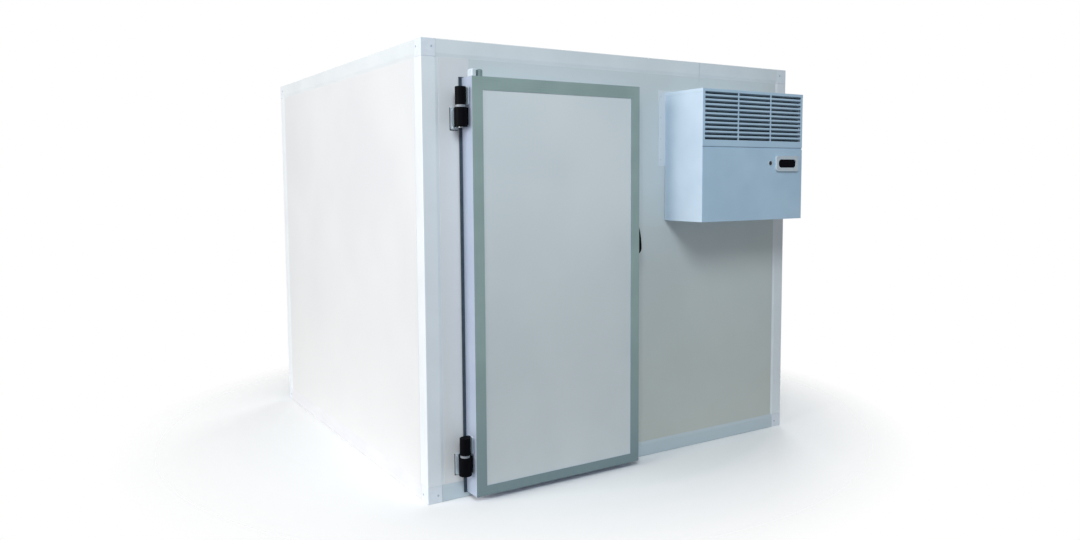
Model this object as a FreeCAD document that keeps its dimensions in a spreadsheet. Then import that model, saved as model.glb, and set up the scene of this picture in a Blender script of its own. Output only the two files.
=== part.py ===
import FreeCAD, Part
import math
import os
import Sketcher
from FreeCAD import Placement, Rotation, Vector

# Walk-in cold room of insulated panels, with a rising-hinge door and a wall-hung cooling unit.
# Millimetres. +Z is up, +X runs right along the front wall, +Y runs from the front wall to the back.
# The origin is the middle of the room's footprint, on the ground.

os.makedirs("parts", exist_ok=True)
doc = FreeCAD.newDocument("cold_room")
sheet = doc.addObject("Spreadsheet::Sheet", "sizes")


class Size:
    """A length: its formula on the sheet and its present value."""

    def __init__(self, formula, value):
        self.formula = formula
        self.value = value

    def __add__(self, other):
        other = as_size(other)
        return Size(f"({self.formula} + {other.formula})", self.value + other.value)

    def __sub__(self, other):
        other = as_size(other)
        return Size(f"({self.formula} - {other.formula})", self.value - other.value)

    def __mul__(self, other):
        other = as_size(other)
        return Size(f"({self.formula} * {other.formula})", self.value * other.value)

    def __truediv__(self, other):
        other = as_size(other)
        return Size(f"({self.formula} / {other.formula})", self.value / other.value)

    def __neg__(self):
        return Size(f"(0 - {self.formula})", -self.value)

    def on_sheet(self):
        return "sizes." in self.formula


def as_size(number):
    return number if isinstance(number, Size) else Size(repr(float(number)), float(number))


def size(alias, value):
    """Write one driving dimension on the sheet and return it."""
    size.row += 1
    sheet.set(f"A{size.row}", alias)
    sheet.set(f"B{size.row}", str(value))
    sheet.setAlias(f"B{size.row}", alias)
    return Size(f"sizes.{alias}", float(value))


size.row = 0

# Room
room_depth = size("room_depth", 2400)
wall_thickness = size("wall_thickness", 70)
panel_setback = size("panel_setback", 2)

# Corner posts, edge rails and corner blocks, each standing a step past the wall's inner face
post_step = size("post_step", 16)
rail_step = size("rail_step", 12)
block_step = size("block_step", 3)
lip_width = size("lip_width", 18)
lip_groove = size("lip_groove", 1)
outer_radius = size("outer_radius", 4)
cove_radius = size("cove_radius", 12)
block_chamfer = size("block_chamfer", 2)
rail_joint_offset = size("rail_joint_offset", 249)
rail_joint_gap = size("rail_joint_gap", 2)
seam_depth = size("seam_depth", 2)

# Door leaf and its place in the front wall
leaf_side_margin = size("leaf_side_margin", 205)
leaf_head_margin = size("leaf_head_margin", 174)
leaf_bottom = size("leaf_bottom", 30)
leaf_width = size("leaf_width", 980)
leaf_height = size("leaf_height", 1996)
leaf_thickness = size("leaf_thickness", 104)
leaf_standoff = size("leaf_standoff", 6)
stile_face = size("stile_face", 56)
leaf_top_face = size("leaf_top_face", 62)
leaf_bottom_face = size("leaf_bottom_face", 48)
leaf_metal = size("leaf_metal", 3)
gasket_width = size("gasket_width", 20)
seal_lip = size("seal_lip", 15)
seal_end_lip = size("seal_end_lip", 4)
seal_gap = size("seal_gap", 0.5)

# Doorway lining
door_overlap = size("door_overlap", 60)
jamb_web = size("jamb_web", 20)
jamb_flange = size("jamb_flange", 50)
jamb_metal = size("jamb_metal", 2)
sill_metal = size("sill_metal", 3)
sill_ramp = size("sill_ramp", 24)

# Rising hinges
hinge_offset = size("hinge_offset", 37)
hinge_reach = size("hinge_reach", 64)
hinge_low_height = size("hinge_low_height", 198)
hinge_high_drop = size("hinge_high_drop", 137)
wall_knuckle_radius = size("wall_knuckle_radius", 31)
leaf_knuckle_radius = size("leaf_knuckle_radius", 26)
wall_knuckle_height = size("wall_knuckle_height", 90)
leaf_knuckle_height = size("leaf_knuckle_height", 84)
knuckle_round = size("knuckle_round", 3)
wall_arm_low = size("wall_arm_low", 15)
wall_arm_high = size("wall_arm_high", 6)
cam_radius = size("cam_radius", 23)
cam_pitch = size("cam_pitch", 16)
cam_base = size("cam_base", 1.5)
cam_gap = size("cam_gap", 0.4)
cam_step_gap = size("cam_step_gap", 0.4)
running_gap = size("running_gap", 0.3)
pin_radius = size("pin_radius", 8)
pin_head_radius = size("pin_head_radius", 14)
pin_head = size("pin_head", 4)
pin_cover = size("pin_cover", 10)
pin_end_gap = size("pin_end_gap", 5)
wall_plate_width = size("wall_plate_width", 37)
wall_plate_height = size("wall_plate_height", 103)
wall_plate_metal = size("wall_plate_metal", 5)
wall_plate_left = size("wall_plate_left", 22)
wall_plate_drop = size("wall_plate_drop", 3)
leaf_plate_width = size("leaf_plate_width", 48)
leaf_plate_metal = size("leaf_plate_metal", 3)
leaf_arm_low = size("leaf_arm_low", 10)
plate_corner = size("plate_corner", 6)
leaf_plate_front = size("leaf_plate_front", 12)

# Fittings on the leaf
cap_width = size("cap_width", 25)
cap_depth = size("cap_depth", 48)
cap_height = size("cap_height", 34)
cap_round = size("cap_round", 7)
buffer_gap = size("buffer_gap", 9)
buffer_width = size("buffer_width", 24)
buffer_depth = size("buffer_depth", 30)
buffer_height = size("buffer_height", 33)
buffer_round = size("buffer_round", 8)
handle_height = size("handle_height", 1196)
handle_length = size("handle_length", 150)
handle_bulge = size("handle_bulge", 19)
handle_peak = size("handle_peak", 32)
handle_depth = size("handle_depth", 44)
handle_round = size("handle_round", 4)
keeper_width = size("keeper_width", 36)
keeper_height = size("keeper_height", 90)
keeper_nose = size("keeper_nose", 14)
keeper_gap = size("keeper_gap", 22)
release_radius = size("release_radius", 38)
release_depth = size("release_depth", 5)
release_round = size("release_round", 3)
release_margin = size("release_margin", 38)

# Cooling unit
unit_gap = size("unit_gap", 265)
unit_side_margin = size("unit_side_margin", 191)
unit_top_margin = size("unit_top_margin", 182)
unit_width = size("unit_width", 759)
unit_height = size("unit_height", 700)
unit_depth = size("unit_depth", 303)
unit_metal = size("unit_metal", 3)
lid_metal = size("lid_metal", 1.5)
lid_lip = size("lid_lip", 20)
grille_height = size("grille_height", 300)
panel_joint = size("panel_joint", 11)
slot_rows = size("slot_rows", 11)
slot_columns = 3
slot_pitch = size("slot_pitch", 23.7)
slot_height = size("slot_height", 14)
slot_side_margin = size("slot_side_margin", 15)
slot_top_margin = size("slot_top_margin", 15)
mullion_width = size("mullion_width", 8)
slat_metal = size("slat_metal", 2)
slat_throw = size("slat_throw", 14)
slat_drop = size("slat_drop", 9)
cover_lap = size("cover_lap", 2)
cover_lip = size("cover_lip", 8)
bezel_width = size("bezel_width", 174)
bezel_height = size("bezel_height", 86)
bezel_side_margin = size("bezel_side_margin", 41)
bezel_drop = size("bezel_drop", 46)
bezel_depth = size("bezel_depth", 11)
bezel_corner = size("bezel_corner", 14)
display_margin = size("display_margin", 20)
display_side_margin = size("display_side_margin", 16)
display_depth = size("display_depth", 3)
display_corner = size("display_corner", 20)
flange_border = size("flange_border", 45)
flange_over_top = size("flange_over_top", 12)
flange_height = size("flange_height", 412)
flange_metal = size("flange_metal", 3)
plug_side_margin = size("plug_side_margin", 30)
plug_border = size("plug_border", 36)
inner_cover_depth = size("inner_cover_depth", 18)
inner_cover_round = size("inner_cover_round", 8)
coil_depth = size("coil_depth", 32)
coil_setback = size("coil_setback", 26)

# The room is as wide and as tall as what stands side by side in its front wall
room_width = leaf_side_margin + leaf_width + unit_gap + unit_width + unit_side_margin
room_height = leaf_bottom + leaf_height + leaf_head_margin
inner_depth = panel_setback + wall_thickness
post_face = inner_depth + post_step
rail_face = inner_depth + rail_step
block_side = inner_depth + block_step
post_height = room_height - rail_face * 2
ceiling_underside = room_height - inner_depth
wall_top = room_height - rail_face

# Places in the room's own frame
left = -(room_width / 2)
right = room_width / 2
front = -(room_depth / 2)
back = room_depth / 2
leaf_x = left + leaf_side_margin
leaf_right = leaf_x + leaf_width
leaf_top = leaf_bottom + leaf_height
leaf_back = front - leaf_standoff
leaf_front = leaf_back - leaf_thickness
doorway_left = leaf_x + door_overlap
doorway_right = leaf_right - door_overlap
doorway_top = leaf_top - door_overlap
wall_cut_left = doorway_left - jamb_web
wall_cut_right = doorway_right + jamb_web
wall_cut_top = doorway_top + jamb_web
hinge_x = leaf_x - hinge_offset
hinge_y = front - hinge_reach
cam_rise = cam_pitch / 2
cam_reach = cam_rise / 2 + cam_base
unit_x = leaf_right + unit_gap
unit_front = front - unit_depth
unit_top = room_height - unit_top_margin
unit_bottom = unit_top - unit_height
grille_bottom = unit_top - grille_height
seam_x = unit_x + rail_joint_offset
flange_bottom = unit_top + flange_over_top - flange_height
plug_x = unit_x + plug_side_margin
plug_z = flange_bottom + plug_border
plug_width = unit_width - plug_side_margin * 2
plug_height = flange_height - plug_border * 2
latch_height = leaf_bottom + handle_height


def bind(obj, **formulas):
    """Tie properties of an object to the sheet."""
    for name, length in formulas.items():
        obj.setExpression(name, as_size(length).formula)


def put(obj, x=0, y=0, z=0, turn=None):
    """Place an object, with its corner tied to the sheet."""
    if turn is not None:
        obj.Placement = Placement(Vector(), turn)
    for axis, length in zip("xyz", (as_size(x), as_size(y), as_size(z))):
        if length.on_sheet() or length.value:
            obj.setExpression(f".Placement.Base.{axis}", length.formula)
    return obj


def block(label, corner, lengths):
    """A rectangular block from its low corner."""
    box = doc.addObject("Part::Box", label)
    bind(box, Length=lengths[0], Width=lengths[1], Height=lengths[2])
    return put(box, *corner)


def rod(label, centre, radius, height, turn=None):
    """A cylinder from the middle of its lower end."""
    cylinder = doc.addObject("Part::Cylinder", label)
    bind(cylinder, Radius=radius, Height=height)
    return put(cylinder, *centre, turn=turn)


def cut(label, base, *tools):
    """A piece with others taken out of it."""
    for number, tool in enumerate(tools):
        last = number == len(tools) - 1
        result = doc.addObject("Part::Cut", label if last else f"{label}_cut_{number}")
        result.Base = base
        result.Tool = tool
        base = result
    return base


def fuse(label, *pieces):
    """Pieces that are one solid."""
    result = doc.addObject("Part::MultiFuse", label)
    result.Shapes = list(pieces)
    result.Refine = True
    return result


def group(label, pieces):
    """Separate solids that share one node."""
    result = doc.addObject("Part::Compound", label)
    result.Links = list(pieces)
    return result


def origin_item(body, role):
    return next(item for item in body.Origin.OriginFeatures if item.Role == role)


def draw(body, name, role, *outlines, offset=None):
    """A sketch of closed outlines, each corner's two coordinates tied to the sheet."""
    sketch = body.newObject("Sketcher::SketchObject", name)
    sketch.AttachmentSupport = [(origin_item(body, role), "")]
    sketch.MapMode = "FlatFace"
    if offset is not None:
        sketch.setExpression(".AttachmentOffset.Base.z", offset.formula)
    for outline in outlines:
        corners = [(as_size(x), as_size(y)) for x, y in outline]
        ends = [Vector(x.value, y.value, 0) for x, y in corners]
        first = sketch.GeometryCount
        for number, start in enumerate(ends):
            sketch.addGeometry(Part.LineSegment(start, ends[(number + 1) % len(ends)]), False)
        for number, corner in enumerate(corners):
            line = first + number
            following = first + (number + 1) % len(ends)
            sketch.addConstraint(Sketcher.Constraint("Coincident", line, 2, following, 1))
            for kind, axis, length in (("DistanceX", -2, corner[0]), ("DistanceY", -1, corner[1])):
                if length.value == 0 and not length.on_sheet():
                    sketch.addConstraint(Sketcher.Constraint("PointOnObject", line, 1, axis))
                    continue
                index = sketch.addConstraint(Sketcher.Constraint(kind, line, 1, length.value))
                sketch.setExpression(f"Constraints[{index}]", length.formula)
    return sketch


def rectangle(x, y, width, height):
    x, y = as_size(x), as_size(y)
    return [(x, y), (x + width, y), (x + width, y + height), (x, y + height)]


def new_body(label):
    return doc.addObject("PartDesign::Body", label)


def pad(body, sketch, length, reverse=False):
    feature = body.newObject("PartDesign::Pad", f"{body.Label}_pad")
    feature.Profile = sketch
    feature.Reversed = reverse
    bind(feature, Length=length)
    return feature


def pocket(body, sketch, length, reverse=False):
    """Cut a sketch into the body, and make sure that it met some material."""
    doc.recompute()
    before = body.Shape.Volume
    feature = body.newObject("PartDesign::Pocket", f"{body.Label}_pocket")
    feature.Profile = sketch
    feature.Reversed = reverse
    bind(feature, Length=length)
    doc.recompute()
    assert feature.Shape.Volume < before, f"a pocket in {body.Label} cuts nothing"
    return feature


def repeat(body, feature, axis, span, count, reverse=False):
    """Copies of a feature in a straight row."""
    pattern = body.newObject("PartDesign::LinearPattern", f"{feature.Label}_row")
    pattern.Originals = [feature]
    pattern.Direction = (origin_item(body, axis), [""])
    pattern.Reversed = reverse
    bind(pattern, Length=span, Occurrences=count)
    body.Tip = pattern
    return pattern


def edges_where(feature, test):
    """Names of the edges that pass a test on the edge and its middle point."""
    doc.recompute()
    names = []
    for number, edge in enumerate(feature.Shape.Edges):
        middle = edge.valueAt((edge.FirstParameter + edge.LastParameter) / 2)
        if test(edge, middle):
            names.append(f"Edge{number + 1}")
    assert names, f"no edge of {feature.Label} fits the test"
    return names


def round_edges(body, feature, radius, test, kind="Fillet", measure="Radius"):
    """A fillet or a chamfer on the edges that pass a test."""
    dressing = body.newObject(f"PartDesign::{kind}", f"{body.Label}_{kind}".lower())
    dressing.Base = (feature, edges_where(feature, test))
    bind(dressing, **{measure: radius})
    return dressing


def runs_along(edge, axis):
    return abs(getattr(edge.tangentAt(edge.FirstParameter), axis)) > 0.99


nodes = []


def node(obj):
    """Mark an object as one of the finished sub-parts."""
    nodes.append(obj)
    return obj


def corner_post(number, x, y, quarter_turns):
    """One upright corner angle: bevelled lips along the panels, rounded outside, coved inside."""
    body = new_body(f"corner_post_{number}")
    lip_drop = panel_setback + lip_groove
    section = [
        (0, 0), (post_face - lip_width, 0), (post_face, lip_drop), (post_face, inner_depth),
        (inner_depth, inner_depth), (inner_depth, post_face), (lip_drop, post_face),
        (0, post_face - lip_width),
    ]
    shaft = pad(body, draw(body, f"post_section_{number}", "XY_Plane", section), post_height)
    outer = round_edges(body, shaft, outer_radius,
                        lambda edge, middle: runs_along(edge, "z") and math.hypot(middle.x, middle.y) < 1)
    depth = inner_depth.value
    round_edges(body, outer, cove_radius,
                lambda edge, middle: runs_along(edge, "z")
                and abs(middle.x - depth) + abs(middle.y - depth) < 0.1)
    return put(body, x, y, rail_face, turn=Rotation(Vector(0, 0, 1), 90 * quarter_turns))


def edge_rail(label, length, place, turn):
    """One edge rail: outer face with its lip, and a leg along the floor or ceiling."""
    body = new_body(label)
    lip_drop = panel_setback + lip_groove
    section = [
        (0, 0), (block_side, 0), (block_side, inner_depth), (inner_depth, inner_depth),
        (inner_depth, rail_face), (lip_drop, rail_face), (0, rail_face - lip_width),
    ]
    run = pad(body, draw(body, f"{label}_section", "YZ_Plane", section), length)
    round_edges(body, run, outer_radius,
                lambda edge, middle: runs_along(edge, "x") and math.hypot(middle.y, middle.z) < 1)
    return put(body, *place, turn=turn)


def bottom_rails():
    """Four rails round the floor, each from one corner block to the next."""
    width_run = room_width - block_side * 2
    depth_run = room_depth - block_side * 2
    sides = (
        ("front", 0, width_run, left + block_side, front),
        ("right", 90, depth_run, right, front + block_side),
        ("back", 180, width_run, right - block_side, back),
        ("left", 270, depth_run, left, back - block_side),
    )
    rails = [edge_rail(f"bottom_rail_{name}", run, (x, y, 0), Rotation(Vector(0, 0, 1), degrees))
             for name, degrees, run, x, y in sides]
    node(group("bottom_rails", rails))


def top_rails():
    """The same rails turned over round the ceiling. The front one is in two lengths."""
    width_run = room_width - block_side * 2
    depth_run = room_depth - block_side * 2
    joint_right = seam_x + rail_joint_gap
    sides = (
        ("front_right", 180, right - block_side - joint_right, right - block_side, front),
        ("front_left", 180, seam_x - left - block_side, seam_x, front),
        ("right", 270, depth_run, right, back - block_side),
        ("back", 0, width_run, left + block_side, back),
        ("left", 90, depth_run, left, front + block_side),
    )
    turned_over = Rotation(Vector(1, 0, 0), 180)
    rails = [edge_rail(f"top_rail_{name}", run, (x, y, room_height),
                       Rotation(Vector(0, 0, 1), degrees) * turned_over)
             for name, degrees, run, x, y in sides]
    node(group("top_rails", rails))


def corner_blocks(label, z):
    """Four separate corner blocks with chamfered edges."""
    pieces = []
    for side, x in (("left", left), ("right", right - block_side)):
        for end, y in (("front", front), ("back", back - block_side)):
            name = f"{label}_{end}_{side}"
            body = new_body(name)
            plan = rectangle(0, 0, block_side, block_side)
            lump = pad(body, draw(body, f"{name}_plan", "XY_Plane", plan), rail_face)
            round_edges(body, lump, block_chamfer, lambda edge, middle: True, "Chamfer", "Size")
            pieces.append(put(body, x, y, z))
    node(group(label, pieces))


def build_shell():
    """Floor, ceiling, walls, posts, rails and corner blocks."""
    inside_width = room_width - block_side * 2
    inside_depth = room_depth - block_side * 2
    side_run = room_depth - post_face * 2
    wall_y = front + panel_setback
    node(block("floor_panel", (left + block_side, front + block_side, 0),
               (inside_width, inside_depth, inner_depth)))
    node(block("ceiling_panel", (left + block_side, front + block_side, ceiling_underside),
               (inside_width, inside_depth, wall_thickness)))
    node(block("left_wall", (left + panel_setback, front + post_face, rail_face),
               (wall_thickness, side_run, post_height)))
    node(block("right_wall", (right - inner_depth, front + post_face, rail_face),
               (wall_thickness, side_run, post_height)))
    node(block("back_wall", (left + post_face, back - inner_depth, rail_face),
               (room_width - post_face * 2, wall_thickness, post_height)))
    node(block("front_wall_left", (left + post_face, wall_y, rail_face),
               (wall_cut_left - left - post_face, wall_thickness, post_height)))
    node(block("front_wall_over_door", (wall_cut_left, wall_y, wall_cut_top),
               (wall_cut_right - wall_cut_left, wall_thickness, wall_top - wall_cut_top)))
    plain = block("front_wall_right_plain", (wall_cut_right, wall_y, rail_face),
                  (right - post_face - wall_cut_right, wall_thickness, post_height))
    plug_hole = block("unit_cut_out", (plug_x, front, plug_z),
                      (plug_width, inner_depth + panel_setback, plug_height))
    seam = block("panel_seam", (seam_x, front, plug_z),
                 (rail_joint_gap, panel_setback + seam_depth, wall_top - plug_z))
    node(cut("front_wall_right", plain, plug_hole, seam))
    posts = [
        corner_post(1, left, front, 0), corner_post(2, right, front, 1),
        corner_post(3, right, back, 2), corner_post(4, left, back, 3),
    ]
    node(group("corner_posts", posts))
    bottom_rails()
    top_rails()
    corner_blocks("bottom_corner_blocks", as_size(0))
    corner_blocks("top_corner_blocks", room_height - rail_face)


def lining_section(across):
    """A channel that caps the wall's cut edge: outer flange, web and inner flange."""
    lap = jamb_flange - jamb_web
    inner = inner_depth + jamb_metal
    points = [
        (0, 0), (jamb_flange, 0), (jamb_flange, inner), (0, inner), (0, inner_depth),
        (lap, inner_depth), (lap, panel_setback), (0, panel_setback),
    ]
    return [across(as_size(x), as_size(y)) for x, y in points]


def build_doorway():
    """Mitred jambs and head round the opening, and the sill with its ramp to the floor."""
    depth = inner_depth + jamb_metal
    jamb_run = doorway_top - rail_face
    outer_run = jamb_run + jamb_flange
    for label, x, flip in (("door_jamb_left", doorway_left - jamb_flange, 1),
                           ("door_jamb_right", doorway_right + jamb_flange, -1)):
        body = new_body(label)
        section = lining_section(lambda x_, y_: (x_ * flip, y_))
        pad(body, draw(body, f"{label}_section", "XY_Plane", section), outer_run)
        reach = jamb_flange * flip
        mitre = [(0, outer_run), (reach, jamb_run), (reach, outer_run)]
        pocket(body, draw(body, f"{label}_mitre", "XZ_Plane", mitre), depth)
        node(put(body, x, front, rail_face))
    head = new_body("door_head")
    head_run = doorway_right - doorway_left + jamb_flange * 2
    pad(head, draw(head, "door_head_section", "YZ_Plane", lining_section(lambda x_, y_: (y_, -x_))), head_run)
    mitres = [
        [(0, 0), (jamb_flange, -jamb_flange), (0, -jamb_flange)],
        [(head_run, 0), (head_run - jamb_flange, -jamb_flange), (head_run, -jamb_flange)],
    ]
    pocket(head, draw(head, "door_head_mitres", "XZ_Plane", *mitres), depth)
    node(put(head, doorway_left - jamb_flange, front, doorway_top + jamb_flange))
    sill = new_body("door_sill")
    lip_drop = panel_setback + lip_groove
    ramp_start = inner_depth + sill_metal
    outline = [
        (lip_drop, rail_step), (lip_drop, rail_step + sill_metal), (ramp_start, rail_step + sill_metal),
        (ramp_start + sill_ramp, sill_metal), (ramp_start + sill_ramp, 0), (inner_depth, 0),
        (inner_depth, rail_step),
    ]
    pad(sill, draw(sill, "door_sill_section", "YZ_Plane", outline), doorway_right - doorway_left)
    node(put(sill, doorway_left, front, inner_depth))


def leaf_member(label, outline, slot):
    """One mitred edge profile of the leaf: a channel that holds the insulated core."""
    body = new_body(label)
    pad(body, draw(body, f"{label}_front", "XZ_Plane", outline), leaf_thickness, reverse=True)
    channel = draw(body, f"{label}_slot", "XZ_Plane", slot, offset=-leaf_metal)
    pocket(body, channel, leaf_thickness - leaf_metal * 2)
    node(put(body, leaf_x, leaf_front, leaf_bottom))


def build_leaf():
    """Insulated core, four mitred edge profiles and the compression gasket."""
    wide, tall, metal = leaf_width, leaf_height, leaf_metal
    side, top, low = stile_face, leaf_top_face, leaf_bottom_face
    node(block("leaf_core", (leaf_x + metal, leaf_front + metal, leaf_bottom + metal),
               (wide - metal * 2, leaf_thickness - metal * 2, tall - metal * 2)))
    leaf_member("leaf_stile_hinge_side",
                [(0, 0), (side, low), (side, tall - top), (0, tall)],
                rectangle(metal, 0, side, tall))
    leaf_member("leaf_stile_latch_side",
                [(wide, 0), (wide - side, low), (wide - side, tall - top), (wide, tall)],
                rectangle(wide - metal - side, 0, side, tall))
    leaf_member("leaf_rail_top",
                [(0, tall), (side, tall - top), (wide - side, tall - top), (wide, tall)],
                rectangle(0, tall - metal - top, wide, top))
    leaf_member("leaf_rail_bottom",
                [(0, 0), (side, low), (wide - side, low), (wide, 0)],
                rectangle(0, metal, wide, low))
    depth = leaf_standoff - seal_gap
    ring = block("gasket_outer", (leaf_x - seal_lip, leaf_back, leaf_bottom - seal_end_lip),
                 (wide + seal_lip * 2, depth, tall + seal_end_lip * 2))
    hole = block("gasket_inner", (leaf_x + gasket_width, leaf_back, leaf_bottom + gasket_width),
                 (wide - gasket_width * 2, depth, tall - gasket_width * 2))
    node(cut("leaf_gasket", ring, hole))


def rounded_plate(label, role, outline, thickness, radius, place, axis):
    """A flat plate with its four corners rounded."""
    body = new_body(label)
    plate = pad(body, draw(body, f"{label}_outline", role, outline), thickness, reverse=role == "XZ_Plane")
    round_edges(body, plate, radius, lambda edge, middle: runs_along(edge, axis))
    return put(body, *place)


def knuckle_outline(body, name, radius, reach, low, high):
    """Plan of a hinge knuckle: a round barrel with an arm that leaves it along two tangents."""
    sketch = body.newObject("Sketcher::SketchObject", name)
    sketch.AttachmentSupport = [(origin_item(body, "XY_Plane"), "")]
    sketch.MapMode = "FlatFace"
    circle = Part.Circle(Vector(), Vector(0, 0, 1), radius.value)
    ends = [Vector(reach.value, low.value, 0), Vector(reach.value, high.value, 0)]
    angles = [math.atan2(end.y, end.x) + side * math.acos(radius.value / end.Length)
              for end, side in zip(ends, (-1, 1))]
    touches = [Vector(radius.value * math.cos(angle), radius.value * math.sin(angle), 0) for angle in angles]
    sketch.addGeometry([
        Part.ArcOfCircle(circle, angles[1], angles[0] + math.tau),
        Part.LineSegment(touches[0], ends[0]), Part.LineSegment(ends[0], ends[1]),
        Part.LineSegment(ends[1], touches[1]),
    ], False)
    sketch.addConstraint([
        Sketcher.Constraint("Coincident", 0, 3, -1, 1),
        Sketcher.Constraint("Tangent", 0, 2, 1, 1), Sketcher.Constraint("Coincident", 1, 2, 2, 1),
        Sketcher.Constraint("Coincident", 2, 2, 3, 1), Sketcher.Constraint("Tangent", 3, 2, 0, 1),
        Sketcher.Constraint("Vertical", 2),
    ])
    bound = (
        (Sketcher.Constraint("Radius", 0, radius.value), radius),
        (Sketcher.Constraint("DistanceX", 2, 1, reach.value), reach),
        (Sketcher.Constraint("DistanceY", 2, 1, low.value), low),
        (Sketcher.Constraint("DistanceY", 2, 2, high.value), high),
    )
    for constraint, length in bound:
        index = sketch.addConstraint(constraint)
        sketch.setExpression(f"Constraints[{index}]", length.formula)
    return sketch


def knuckle(label, radius, height, arm, degrees, bore_depth, place):
    """A hinge barrel and its arm, with rounded rims, bored for the pin."""
    body = new_body(label)
    lump = pad(body, knuckle_outline(body, f"{label}_plan", radius, *arm), height)
    seat = arm[0].value
    rims = round_edges(body, lump, knuckle_round,
                       lambda edge, middle: middle.z in (0, height.value) and middle.x < seat)
    bore = body.newObject("PartDesign::SubtractiveCylinder", f"{label}_bore")
    bind(bore, Radius=pin_radius + running_gap, Height=bore_depth)
    doc.recompute()
    assert bore.Shape.Volume < rims.Shape.Volume, f"{label} has no bore"
    return put(body, *place, turn=Rotation(Vector(0, 0, 1), degrees))


def cam_ring():
    """A lifting cam: a ring whose upper face is two helical ramps with two upright steps."""
    inner = (pin_radius + running_gap).value
    outer = cam_radius.value
    rise = cam_rise.value
    tall = rise + cam_base.value
    foot = Vector(0, 0, -cam_reach.value)
    ring = Part.makeCylinder(outer, tall, foot).cut(Part.makeCylinder(inner, tall, foot))
    spare = inner / 4
    corners = [
        Vector(inner - spare, 0, 0), Vector(outer + spare, 0, 0),
        Vector(outer + spare, 0, tall * 2), Vector(inner - spare, 0, tall * 2),
    ]
    for start in (0, 180):
        path = Part.Wire(Part.makeHelix(cam_pitch.value, rise, outer, 0, True).Edges)
        above = path.makePipeShell([Part.makePolygon(corners + corners[:1])], True, True)
        above.translate(Vector(0, 0, rise / -2))
        above.rotate(Vector(), Vector(0, 0, 1), start)
        ring = ring.cut(above)
    return ring


def cam(label, place, lifting):
    """The fixed cam, or the lifting one: the same ring turned over, clear of the ramps and steps."""
    shape = cam_ring()
    turn = Rotation()
    if lifting:
        step_angle = math.degrees(cam_step_gap.value / cam_radius.value)
        turn = Rotation(Vector(0, 0, 1), -step_angle) * Rotation(Vector(1, 0, 0), 180)
    feature = doc.addObject("Part::Feature", label)
    feature.Shape = shape
    return put(feature, *place, turn=turn)


def build_hinges():
    """Two rising hinges: wall plate and knuckle, two nylon cams, pin, leaf knuckle and leaf plate."""
    families = {name: [] for name in (
        "hinge_wall_plates", "hinge_wall_knuckles", "hinge_fixed_cams", "hinge_pins",
        "hinge_lift_cams", "hinge_leaf_knuckles", "hinge_leaf_plates")}
    wall_arm = (hinge_reach - wall_plate_metal, -wall_arm_low, wall_arm_high)
    leaf_arm = (hinge_offset - leaf_plate_metal, leaf_arm_low, leaf_knuckle_radius)
    for place, z in (("low", leaf_bottom + hinge_low_height), ("high", leaf_top - hinge_high_drop)):
        wall_foot = z - cam_reach - wall_knuckle_height
        plate_foot = z - wall_plate_drop - wall_plate_height
        leaf_foot = z + cam_reach + cam_gap
        families["hinge_wall_plates"].append(rounded_plate(
            f"wall_plate_{place}", "XZ_Plane", rectangle(0, 0, wall_plate_width, wall_plate_height),
            wall_plate_metal + panel_setback, plate_corner,
            (hinge_x - wall_plate_left, front - wall_plate_metal, plate_foot), "y"))
        families["hinge_wall_knuckles"].append(knuckle(
            f"wall_knuckle_{place}", wall_knuckle_radius, wall_knuckle_height, wall_arm, 90,
            wall_knuckle_height, (hinge_x, hinge_y, wall_foot)))
        families["hinge_leaf_knuckles"].append(knuckle(
            f"leaf_knuckle_{place}", leaf_knuckle_radius, leaf_knuckle_height, leaf_arm, 0,
            leaf_knuckle_height - pin_cover, (hinge_x, hinge_y, leaf_foot)))
        families["hinge_leaf_plates"].append(rounded_plate(
            f"leaf_plate_{place}", "YZ_Plane", rectangle(0, 0, leaf_plate_width, leaf_knuckle_height),
            leaf_plate_metal, plate_corner,
            (leaf_x - leaf_plate_metal, hinge_y - leaf_plate_front, leaf_foot), "x"))
        shank = rod(f"pin_shank_{place}", (hinge_x, hinge_y, wall_foot - pin_head), pin_radius,
                    pin_head + leaf_foot + leaf_knuckle_height - pin_cover - pin_end_gap - wall_foot)
        head = rod(f"pin_head_{place}", (hinge_x, hinge_y, wall_foot - pin_head - running_gap),
                   pin_head_radius, pin_head)
        families["hinge_pins"].append(fuse(f"hinge_pin_{place}", shank, head))
        families["hinge_fixed_cams"].append(cam(f"fixed_cam_{place}", (hinge_x, hinge_y, z), False))
        families["hinge_lift_cams"].append(cam(f"lift_cam_{place}", (hinge_x, hinge_y, z + cam_gap), True))
    for label, pieces in families.items():
        node(group(label, pieces))


def soft_block(label, x, y, width, depth, height, radius):
    """A moulded block on the leaf's top edge, rounded everywhere but at its foot."""
    body = new_body(label)
    lump = pad(body, draw(body, f"{label}_plan", "XY_Plane", rectangle(0, 0, width, depth)), height)
    round_edges(body, lump, radius, lambda edge, middle: middle.z > height.value / 4)
    return put(body, x, y, leaf_top)


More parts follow.
